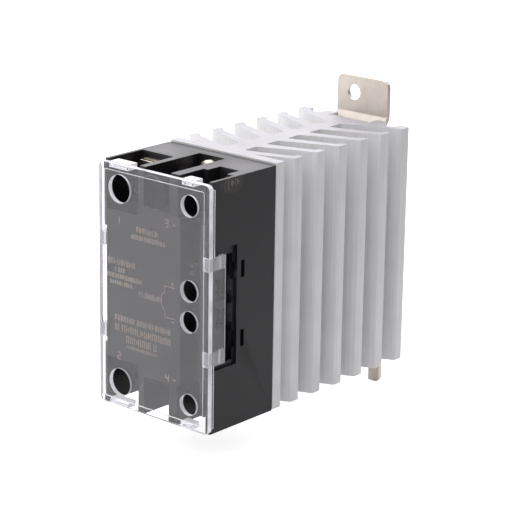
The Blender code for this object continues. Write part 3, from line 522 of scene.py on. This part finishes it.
def soften(obj, width_mm, segments=2, angle=35, edge_slot=-1):
    """Welds the triangles of a mesh into flat faces and rounds its edges."""
    weld = obj.modifiers.new("weld", "WELD")
    weld.merge_threshold = SAME_CORNER
    flat = obj.modifiers.new("flat_faces", "DECIMATE")
    flat.decimate_type = "DISSOLVE"
    flat.angle_limit = FLAT_ANGLE
    flat.delimit = {"MATERIAL"}
    bevel = obj.modifiers.new("edges", "BEVEL")
    bevel.width = width_mm * MM
    bevel.segments = segments
    bevel.limit_method = "ANGLE"
    bevel.angle_limit = math.radians(angle)
    bevel.use_clamp_overlap = True
    bevel.material = edge_slot
    shading = obj.modifiers.new("shading", "NODES")
    shading.node_group = SMOOTHING
    return obj


def dress(node, material, width_mm):
    """Gives a CAD node its finish and rounds its edges by modifiers."""
    obj = frame["nodes"][node]
    obj.data.materials.clear()
    obj.data.materials.append(material)
    return soften(obj, width_mm)


def piece(name, mesh, body, material):
    """A new piece that rides on a body, with its finish."""
    obj = bpy.data.objects.new(name, mesh)
    bpy.context.scene.collection.objects.link(obj)
    mesh.materials.append(material)
    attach(obj, body)
    return obj


def mesh_from(shape, name):
    """A mesh from a bmesh, which is freed."""
    bmesh.ops.recalc_face_normals(shape, faces=shape.faces)
    mesh = bpy.data.meshes.new(name)
    shape.to_mesh(mesh)
    shape.free()
    return mesh


def add_block(shape, low, high):
    """Adds a block between two corners, and gives its vertices."""
    made = bmesh.ops.create_cube(shape, size=1.0)["verts"]
    bmesh.ops.scale(shape, vec=high - low, verts=made)
    bmesh.ops.translate(shape, vec=(high + low) / 2, verts=made)
    return made


def apply_modifiers(obj):
    """Turns an object's modifiers into its mesh."""
    bpy.context.view_layer.update()
    graph = bpy.context.evaluated_depsgraph_get()
    made = bpy.data.meshes.new_from_object(obj.evaluated_get(graph), depsgraph=graph)
    old = obj.data
    obj.modifiers.clear()
    obj.data = made
    bpy.data.meshes.remove(old)


def shade_smooth(obj, degrees):
    """Shades a mesh smooth, but for edges that turn by more than an angle."""
    obj.data.polygons.foreach_set("use_smooth", [True] * len(obj.data.polygons))
    obj.data.set_sharp_from_angle(angle=math.radians(degrees))


# ---------------------------------------------------------------- carried-over CAD nodes

# Nodes, their finish, and the width of their rounded edges in millimetres
PLAIN_FINISHES = (
    (("heat_sink",), ALUMINIUM, 0.12),
    (("case",), BLACK, 0.22),
    (("rail_bracket", "rail_latch"), NICKEL, 0.22),
    (("latch_rivet_upper", "latch_rivet_lower"), ZINC, 0.2),
    (("base_plate",), COPPER, 0.2),
    (("thermal_pad",), GREASE, 0.05),
    (("ceramic_substrate",), CERAMIC, 0.06),
    (("thyristor_forward", "thyristor_reverse"), SILICON, 0.05),
    (("control_board",), BOARD, 0.08),
    (("optocoupler",), CHIP_BLACK, 0.1),
    (("snubber_capacitor",), YELLOW, 0.4),
    (("snubber_resistor",), BANDED, 0.3),
    (("varistor",), BLUE, 0.6),
    (("input_led",), GREEN_LED, 0.15),
    (("alarm_led",), RED_LED, 0.15),
    (("input_light_pipe", "alarm_light_pipe"), PIPE, 0.2),
    (("load_clamp_1", "load_clamp_2"), POLISHED, 0.18),
    # Painted shade on the control clamps: dimmed nickel
    (("control_clamp_1", "control_clamp_2"), NICKEL_PAINTED_SHADE, 0.18),
    # Painted shade on the alarm clamps and bars, which lie in shade inside the case
    (("alarm_clamp_1", "alarm_clamp_2"), STEEL_PAINTED_SHADE, 0.18),
    (("load_bar_1", "load_bar_2", "control_bar_1", "control_bar_2"), TIN, 0.15),
    (("alarm_bar_1", "alarm_bar_2"), STEEL_PAINTED_SHADE, 0.15),
)


def dress_nodes():
    """Gives every carried-over CAD node its finish."""
    for nodes, material, width in PLAIN_FINISHES:
        for node in nodes:
            dress(node, material, width)


# ---------------------------------------------------------------- clear cover

# The cover's material slots: for its faces, its clips and tabs, and its edges, which glow as a
# painted highlight
CLEAR_SLOT, FROSTED_SLOT, EDGE_SLOT = 0, 1, 2
PLATE_REAR = COVER_LOW.y + 1.8 * MM
WING = 1.0 * MM
# Z of the lower and upper end of the two clips on a side
CLIPS = (
    (CASE_MIDDLE + 12.8 * MM, CASE_MIDDLE + 17.0 * MM),
    (CASE_MIDDLE - 17.8 * MM, CASE_MIDDLE - 13.2 * MM),
)
# How far from the cover's side a clip reaches inwards, and its frosted root begins and ends
CLIP_REACH, ROOT_INNER, ROOT_OUTER = 3.0 * MM, 2.68 * MM, 0.1 * MM
# Heights from the case's middle, in millimetres: the pocket tabs, and the long slot's two walls
TABS_FROM, SLOT_FROM, SLOT_TO = 38.0, 38.5, 39.3
SLOT_HALF = 20.5 * MM
SLOT_FRONT, SLOT_REAR = COVER_LOW.y + 0.1 * MM, COVER_LOW.y + 1.1 * MM
SUNK_FACE = COVER_LOW.y + 0.3 * MM


def slice_mesh(shape, point, normal):
    """Cuts the faces of a mesh along a plane."""
    parts = shape.verts[:] + shape.edges[:] + shape.faces[:]
    bmesh.ops.bisect_plane(shape, geom=parts, plane_co=point, plane_no=normal, dist=1e-7)


def add_frame(shape, middle, half_wide, half_tall, corner, width, front):
    """A closed frame with round corners on the cover's sunk face, around a place (X, Z)."""
    steps, least_corner = 8, 0.05
    quarters = ((1, 1, 0), (-1, 1, 90), (-1, -1, 180), (1, -1, 270))
    rows = []
    for inset, depth in ((0, front), (width, front), (width, SUNK_FACE), (0, SUNK_FACE)):
        row = []
        radius = max(corner - inset, least_corner)
        for sign_x, sign_z, start in quarters:
            for step in range(steps + 1):
                angle = math.radians(start + 90 * step / steps)
                x = sign_x * (half_wide - inset - radius) + radius * math.cos(angle)
                z = sign_z * (half_tall - inset - radius) + radius * math.sin(angle)
                row.append(shape.verts.new((middle[0] + x * MM, depth, middle[1] + z * MM)))
        rows.append(row)
    around = len(rows[0])
    for row, following in zip(rows, rows[1:] + rows[:1]):
        for i in range(around):
            j = (i + 1) % around
            shape.faces.new((row[i], row[j], following[j], following[i]))


def make_cover_lines():
    """A glowing strip along the step of the cover's sunk face, a painted highlight, and the two
    faint moulding rings on it.
    """
    body = BODY_OF["terminal_cover"]
    # Painted highlight: a thin glowing frame stands in for the light on the sunk face's step
    highlight_frame = bmesh.new()
    add_frame(highlight_frame, (0, CASE_MIDDLE), 21.15, 37.6, 0.8, 0.2, COVER_LOW.y + 0.1 * MM)
    line = piece(
        "cover_face_bead", mesh_from(highlight_frame, "cover_face_bead"), body, STEP_HIGHLIGHT_GLOW
    )
    soften(line, 0.04, segments=1, angle=60)
    rings = bmesh.new()
    for height in (33.4, -33.4):
        place = (-0.5 * MM, CASE_MIDDLE + height * MM)
        add_frame(rings, place, 5.5, 5.5, 5.45, 0.22, COVER_LOW.y + 0.21 * MM)
    ring = piece(
        "cover_moulding_rings",
        mesh_from(rings, "cover_moulding_rings"),
        body,
        CLEAR,
    )
    soften(ring, 0.03, segments=1, angle=60)


def cover_slot(face):
    """The material slot of one of the cover's faces."""
    centre, normal = face.calc_center_median(), face.normal
    outwards = centre.z - CASE_MIDDLE
    height = abs(outwards) / MM
    at_clip = any(bottom < centre.z < top for bottom, top in CLIPS)
    on_wing = COVER_HIGH.x - abs(centre.x) < WING
    behind_plate = centre.y > PLATE_REAR
    in_slot = SLOT_FROM < height < SLOT_TO and abs(centre.x) < SLOT_HALF
    if in_slot and SLOT_FRONT < centre.y < SLOT_REAR:
        far_wall = normal.z * outwards > 0 and abs(normal.z) > 0.5
        return EDGE_SLOT if far_wall else CLEAR_SLOT
    if behind_plate and height > TABS_FROM:
        return EDGE_SLOT
    if behind_plate and on_wing and not at_clip and normal.y > 0.5:
        return EDGE_SLOT
    if centre.y > PLATE_REAR + 0.05 * MM:
        return FROSTED_SLOT if at_clip or not on_wing else CLEAR_SLOT
    if abs(normal.y) < 0.5:
        on_clip = at_clip and abs(centre.x) > COVER_HIGH.x - CLIP_REACH
        return FROSTED_SLOT if on_clip else EDGE_SLOT
    return CLEAR_SLOT


def make_cover():
    """The clear cover: its edges glow as a painted highlight, and its clips and pocket tabs are
    frosted, with a faint painted glow.
    """
    node = "terminal_cover"
    shape = bmesh.new()
    shape.from_mesh(frame["nodes"][node].data)
    bmesh.ops.remove_doubles(shape, verts=shape.verts, dist=SAME_CORNER)
    bmesh.ops.dissolve_limit(shape, angle_limit=FLAT_ANGLE, verts=shape.verts, edges=shape.edges)
    slice_mesh(shape, (0, PLATE_REAR, 0), (0, 1, 0))
    for ends in CLIPS:
        for z in ends:
            slice_mesh(shape, (0, 0, z), (0, 0, 1))
    for face in shape.faces:
        face.material_index = cover_slot(face)
    mesh = mesh_from(shape, "clear_cover")
    cover = piece("clear_cover", mesh, BODY_OF[node], CLEAR)
    mesh.materials.append(FROSTED_PAINTED_GLOW)
    mesh.materials.append(EDGE)
    soften(cover, 0.16, edge_slot=EDGE_SLOT)
    cover.modifiers.remove(cover.modifiers["flat_faces"])
    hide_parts(node)


def make_clip_roots():
    """The frosted roots of the four clips, inside the cover's plate, with a faint painted glow and
    glowing edges.
    """
    inner, outer = COVER_HIGH.x - ROOT_INNER, COVER_HIGH.x - ROOT_OUTER
    front, rear = COVER_LOW.y + 0.25 * MM, PLATE_REAR - 0.05 * MM
    roots = bmesh.new()
    for side in (-1, 1):
        left, right = sorted((side * inner, side * outer))
        for bottom, top in CLIPS:
            add_block(roots, Vector((left, front, bottom)), Vector((right, rear, top)))
    mesh = mesh_from(roots, "clip_roots")
    root = piece("clip_roots", mesh, BODY_OF["terminal_cover"], FROSTED_PAINTED_GLOW)
    mesh.materials.append(EDGE)
    soften(root, 0.12, edge_slot=1)


# ---------------------------------------------------------------- screws

# A kind of screw: which ones there are, the radii of its shank and head, its head's height and its
# thread's pitch in millimetres, the way its head points along Y, and its finish
ScrewKind = namedtuple("ScrewKind", "name places shank head rise pitch way finish")
FORWARDS, REARWARDS = -1, 1
SCREW_KINDS = (
    # Painted shade: the terminal screws are near black, standing in for the shade of their deep
    # holes
    ScrewKind("load", ("1", "2"), 2.4, 4.4, 3.3, 0.8, FORWARDS, STEEL_PAINTED_SHADE),
    ScrewKind("control", ("1", "2"), 1.65, 3.2, 2.4, 0.6, FORWARDS, STEEL_PAINTED_SHADE),
    ScrewKind("alarm", ("1", "2"), 1.4, 2.6, 1.9, 0.5, FORWARDS, STEEL_PAINTED_SHADE),
    ScrewKind("case", ("top", "bottom"), 1.9, 3.9, 2.8, 0.7, FORWARDS, ZINC),
    ScrewKind("bracket", ("1", "2", "3", "4"), 1.25, 2.2, 1.2, 0.45, REARWARDS, ZINC),
)
SCREW_SIDES = 40
# The crossed recess: its arms' half length and half width as shares of the head's radius, its depth
# as a share of the head's height, how much narrower its floor is, and how far the cross is turned
RECESS_LONG, RECESS_SHORT, RECESS_LEVEL, RECESS_TAPER = 0.56, 0.12, 0.42, 0.55
RECESS_TURN = math.radians(28)


def screw_profile(kind, length):
    """Rows of (radius, height, thread depth) from the head's middle down to the tip."""
    dome_steps, neck, rows_a_turn, tip_share = 7, 0.8, 8, 0.06
    rows = [(0.0, kind.rise, 0.0)]
    for step in range(dome_steps + 1):
        angle = math.pi / 2 * step / dome_steps
        radius = kind.head * (0.35 + 0.65 * math.sin(angle))
        rows.append((radius, kind.rise * (0.45 + 0.55 * math.cos(angle) ** 0.8), 0.0))
    rows.append((kind.head * 0.985, 0.12, 0.0))
    rows.append((kind.head * 0.95, 0.0, 0.0))
    rows.append((kind.shank * 1.04, 0.0, 0.0))
    rows.append((kind.shank * 0.92, -neck, 0.0))
    count = int((length - neck) / kind.pitch * rows_a_turn)
    depth = 0.54 * kind.pitch
    for step in range(1, count + 1):
        height = -neck - (length - neck) * step / count
        runout = min(1.0, step / rows_a_turn, (count - step) / rows_a_turn + 0.25)
        taper = max(0.0, (step / count - (1 - tip_share)) / tip_share) * 0.3
        rows.append((kind.shank * (1 - taper * 0.5), height, depth * runout))
    rows.append((0.0, -length, 0.0))
    return rows


def turned_screw(kind, length):
    """A screw along Z with its head up: a turned profile with a thread that winds around it."""
    shape = bmesh.new()
    rings = []
    for radius, height, depth in screw_profile(kind, length):
        if radius == 0:
            rings.append([shape.verts.new((0, 0, height * MM))])
            continue
        ring = []
        for step in range(SCREW_SIDES):
            angle = 2 * math.pi * step / SCREW_SIDES
            phase = (height / kind.pitch - step / SCREW_SIDES) % 1.0
            r = (radius - depth * abs(2 * phase - 1)) * MM
            ring.append(shape.verts.new((r * math.cos(angle), r * math.sin(angle), height * MM)))
        rings.append(ring)
    for upper, lower in zip(rings, rings[1:]):
        for step in range(SCREW_SIDES):
            after = (step + 1) % SCREW_SIDES
            corners = [upper[step % len(upper)], lower[step % len(lower)]]
            if len(lower) > 1:
                corners.append(lower[after])
            if len(upper) > 1:
                corners.append(upper[after])
            shape.faces.new(corners)
    return shape


def recess_cutter(kind, x, z, under_head):
    """A tapered cross that is cut out of a screw's head."""
    shape = bmesh.new()
    outer = under_head + kind.way * (kind.rise + 1) * MM
    floor = under_head + kind.way * kind.rise * RECESS_LEVEL * MM
    long, short = kind.head * RECESS_LONG * MM, kind.head * RECESS_SHORT * MM
    for wide, tall in ((long, short), (short, long)):
        low = Vector((x - wide, min(outer, floor), z - tall))
        high = Vector((x + wide, max(outer, floor), z + tall))
        for vert in add_block(shape, low, high):
            if abs(vert.co.y - floor) < 1e-7:
                vert.co.x = x + (vert.co.x - x) * RECESS_TAPER
                vert.co.z = z + (vert.co.z - z) * RECESS_TAPER
    about = Matrix.Translation((x, 0, z))
    turn = about @ Matrix.Rotation(RECESS_TURN, 4, "Y") @ Matrix.Translation((-x, 0, -z))
    for vert in shape.verts:
        vert.co = turn @ vert.co
    return shape


def make_screw(kind, node):
    """A pan head screw with a crossed recess and a real thread, where the CAD has a plain shank."""
    low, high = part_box(node)
    x, z = (low.x + high.x) / 2, (low.z + high.z) / 2
    length = (high.y - low.y) / MM - kind.rise
    head_end = low.y if kind.way == FORWARDS else high.y
    under_head = head_end - kind.way * kind.rise * MM
    mesh = mesh_from(turned_screw(kind, length), node + "_turned")
    turn = Matrix.Rotation(-kind.way * math.pi / 2, 4, "X")
    mesh.transform(Matrix.Translation((x, under_head, z)) @ turn)
    screw = piece(node + "_threaded", mesh, BODY_OF[node], kind.finish)
    cutter = mesh_from(recess_cutter(kind, x, z, under_head), node + "_recess")
    recess = bpy.data.objects.new(node + "_recess", cutter)
    bpy.context.scene.collection.objects.link(recess)
    cross = screw.modifiers.new("cross", "BOOLEAN")
    cross.object = recess
    cross.solver = "EXACT"
    cross.use_self = True
    apply_modifiers(screw)
    bpy.data.objects.remove(recess)
    shade_smooth(screw, 32)
    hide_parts(node)


def make_screws():
    """All the screws, kind by kind."""
    for kind in SCREW_KINDS:
        for place in kind.places:
            make_screw(kind, f"{kind.name}_screw_{place}")


# ---------------------------------------------------------------- spring


def make_spring():
    """A round-wire spring in place of the CAD's faceted one."""
    node = "latch_spring"
    low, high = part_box(node)
    wire, turns, steps, sides = 0.2 * MM, 4, 40, 10
    middle = (low + high) / 2
    radius = (high.x - low.x) / 2 - wire
    bottom, top = low.z + wire, high.z - wire
    up = Vector((0, 0, 1))
    count = turns * steps
    shape = bmesh.new()
    rings = []
    for i in range(count + 1):
        angle = 2 * math.pi * i / steps
        out = Vector((math.cos(angle), math.sin(angle), 0))
        height = bottom + (top - bottom) * i / count
        centre = Vector((middle.x, middle.y, height)) + out * radius
        ring = []
        for k in range(sides):
            around = 2 * math.pi * k / sides
            side = out * math.cos(around) + up * math.sin(around)
            ring.append(shape.verts.new(centre + side * wire))
        rings.append(ring)
    for a, b in zip(rings, rings[1:]):
        for k in range(sides):
            following = (k + 1) % sides
            shape.faces.new((a[k], a[following], b[following], b[k]))
    shape.faces.new(rings[0])
    shape.faces.new(rings[-1])
    spring = piece("latch_coil", mesh_from(shape, "latch_coil"), BODY_OF[node], ZINC)
    shade_smooth(spring, 50)
    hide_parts(node)
    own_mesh(spring)


# ---------------------------------------------------------------- print on the label

# All in millimetres. Each row of upright strokes: left and right X, middle Z, height
PRINT_ROWS = (
    (-8.4, 0.1, 19.5, 1.9),
    (-10.6, 3.1, 16.9, 1.6),
    (-20.7, -9.7, 7.3, 1.9),
    (-17.6, -13.2, 4.8, 1.6),
    (-21.3, -6.3, 2.6, 1.6),
    (-19.9, -10.6, 0.4, 1.4),
    (-7.2, 1.9, -1.3, 1.8),
    (-17.8, 5.3, -11.1, 1.9),
    (-17.8, 5.3, -14.3, 2.3),
    (-12.9, 0.6, -17.6, 2.4),
    (-12.9, 0.6, -20.0, 1.1),
)
# A digit's seven bars: top, upper left, upper right, middle, lower left, lower right, bottom
DIGIT_BARS = {"1": "0010010", "2": "1011101", "3": "1011011", "4": "0111010"}
DIGIT_WIDE, DIGIT_TALL = 1.2, 2.2
# Numerals and signs beside the terminals, with their X and Z
TERMINAL_MARKS = (("1", -16.4, 21.0), ("2", -16.0, -23.8), ("3", 4.6, 24.0), ("4", 4.9, -26.2))
SIGNS = (("+", 7.6, 24.0), ("-", 7.9, -26.2), ("+", 7.0, 5.0), ("-", 7.2, -7.4))
SIGN_SIZE = 1.1
# The line that joins the two alarm terminals, corner by corner
JOINING_LINE = (
    (8.2, 3.8),
    (3.9, 3.8),
    (3.9, 1.9),
    (2.5, 0.8),
    (2.5, -2.9),
    (3.9, -4.2),
    (3.9, -6.3),
    (8.2, -6.3),
)
STROKE, THIN_STROKE = 0.34, 0.272
PRINT_THICK = 0.04 * MM


def add_bar(shape, x, z, wide, tall):
    """A bar of print on the label's front, with its middle at X and Z."""
    low = Vector(((x - wide / 2) * MM, CASE_LOW.y - PRINT_THICK, (z - tall / 2) * MM))
    high = Vector(((x + wide / 2) * MM, CASE_LOW.y + PRINT_THICK, (z + tall / 2) * MM))
    return add_block(shape, low, high)


def add_print_row(shape, left, right, middle, tall):
    """A row of plain strokes with a few crossbars, in the place of a line of small print."""
    x = left
    while x < right:
        letter = tall * random.uniform(0.42, 0.62)
        add_bar(shape, x + STROKE / 2, middle, STROKE, tall)
        if random.random() < 0.75:
            second = tall * random.choice((1.0, 1.0, 0.6))
            add_bar(shape, x + letter - STROKE / 2, middle, STROKE, second)
        if random.random() < 0.6:
            level = random.choice((-0.5, 0.0, 0.5)) * (tall - STROKE)
            add_bar(shape, x + letter / 2, middle + level, letter, STROKE)
        x += letter + tall * 0.2


def add_digit(shape, digit, x, z):
    """A numeral made of up to seven bars."""
    side, half = DIGIT_WIDE / 2, DIGIT_TALL / 2
    places = (
        (0, half, DIGIT_WIDE, STROKE),
        (-side, half / 2, STROKE, half),
        (side, half / 2, STROKE, half),
        (0, 0, DIGIT_WIDE, STROKE),
        (-side, -half / 2, STROKE, half),
        (side, -half / 2, STROKE, half),
        (0, -half, DIGIT_WIDE, STROKE),
    )
    for shown, (right, up, wide, tall) in zip(DIGIT_BARS[digit], places):
        if shown == "1":
            add_bar(shape, x + right, z + up, wide, tall)


def make_print():
    """Print on the label: rows of plain strokes, numerals, signs and the joining line."""
    random.seed(7)
    shape = bmesh.new()
    for row in PRINT_ROWS:
        add_print_row(shape, *row)
    for mark in TERMINAL_MARKS:
        add_digit(shape, *mark)
    for sign, x, z in SIGNS:
        add_bar(shape, x, z, SIGN_SIZE, STROKE)
        if sign == "+":
            add_bar(shape, x, z, STROKE, SIGN_SIZE)
    for (x0, z0), (x1, z1) in zip(JOINING_LINE, JOINING_LINE[1:]):
        made = add_bar(shape, 0, 0, math.hypot(x1 - x0, z1 - z0), THIN_STROKE)
        turn = Matrix.Rotation(-math.atan2(z1 - z0, x1 - x0), 4, "Y")
        move = Matrix.Translation(((x0 + x1) / 2 * MM, 0, (z0 + z1) / 2 * MM))
        bmesh.ops.transform(shape, matrix=move @ turn, verts=made)
    piece("label_print", mesh_from(shape, "label_print"), BODY_OF["case"], INK)


# ---------------------------------------------------------------- studio


def make_floor():
    """A plain floor just below the object."""
    shape = bmesh.new()
    bmesh.ops.create_grid(shape, x_segments=1, y_segments=1, size=FLOOR_HALF)
    mesh = mesh_from(shape, "floor")
    floor = bpy.data.objects.new("floor", mesh)
    bpy.context.scene.collection.objects.link(floor)
    floor.location.z = CAD_BOX[0].z - FLOOR_GAP
    mesh.materials.append(floor_material())


def make_world():
    """Soft light, strongest from above and behind and weakest from the right, on white."""
    world = bpy.data.worlds.new("studio")
    bpy.context.scene.world = world
    world.use_nodes = True
    tree = world.node_tree
    tree.nodes.clear()

    def maths(operation, a, b):
        node = tree.nodes.new("ShaderNodeMath")
        node.operation = operation
        for socket, value in zip(node.inputs, (a, b)):
            if isinstance(value, bpy.types.NodeSocket):
                tree.links.new(value, socket)
            else:
                socket.default_value = value
        return node.outputs[0]

    direction = tree.nodes.new("ShaderNodeSeparateXYZ")
    tree.links.new(tree.nodes.new("ShaderNodeTexCoord").outputs["Generated"], direction.inputs[0])
    right, rear, up = direction.outputs
    glow = maths("ADD", BASE_LIGHT, maths("MULTIPLY", up, LIGHT_FROM_ABOVE))
    towards = maths("MULTIPLY", right, BACK_LIGHT[0])
    towards = maths("ADD", towards, maths("MULTIPLY", rear, BACK_LIGHT[1]))
    towards = maths("ADD", towards, maths("MULTIPLY", up, BACK_LIGHT[2]))
    behind = maths("MAXIMUM", maths("SUBTRACT", towards, BACK_LIGHT_EDGE), 0.0)
    glow = maths("ADD", glow, maths("MULTIPLY", behind, LIGHT_FROM_BEHIND))
    shade = maths("MULTIPLY", maths("MAXIMUM", right, 0.0), SHADE_ON_THE_RIGHT)
    glow = maths("MAXIMUM", maths("SUBTRACT", glow, shade), LEAST_LIGHT)
    seen = seen_directly(tree.nodes.new("ShaderNodeLightPath"), maths)
    shown = maths("MULTIPLY", seen, BACKDROP)
    lighting = maths("MULTIPLY", maths("SUBTRACT", 1.0, seen), glow)
    background = tree.nodes.new("ShaderNodeBackground")
    background.inputs["Color"].default_value = (*LIGHT_COLOUR, 1.0)
    tree.links.new(maths("ADD", shown, lighting), background.inputs["Strength"])
    output = tree.nodes.new("ShaderNodeOutputWorld")
    tree.links.new(background.outputs[0], output.inputs[0])


def make_camera():
    """The camera, which looks at the object's middle, with a small shift and roll."""
    azimuth, elevation, roll = (math.radians(angle) for angle in (AZIMUTH, ELEVATION, ROLL))
    level = math.cos(elevation)
    back = Vector((math.sin(azimuth) * level, -math.cos(azimuth) * level, math.sin(elevation)))
    right = Vector((math.cos(azimuth), math.sin(azimuth), 0))
    up = back.cross(right)
    turned_right = right * math.cos(roll) + up * math.sin(roll)
    turned_up = up * math.cos(roll) - right * math.sin(roll)
    centre = (CAD_BOX[0] + CAD_BOX[1]) / 2
    place = centre + back * DISTANCE - right * SHIFT_LEFT * MM + up * SHIFT_UP * MM
    camera = bpy.data.objects.new("camera", bpy.data.cameras.new("camera"))
    bpy.context.scene.collection.objects.link(camera)
    camera.data.sensor_width = SENSOR_WIDTH
    camera.data.lens = LENS
    camera.data.clip_start = NEAREST
    axes = Matrix((turned_right, turned_up, back)).transposed()
    camera.matrix_world = Matrix.Translation(place) @ axes.to_4x4()
    bpy.context.scene.camera = camera


def make_studio():
    """Floor, light and camera."""
    bpy.context.scene.view_settings.view_transform = "Standard"
    make_floor()
    make_world()
    make_camera()


dress_nodes()
make_cover()
make_clip_roots()
make_cover_lines()
make_screws()
make_spring()
make_print()
make_studio()
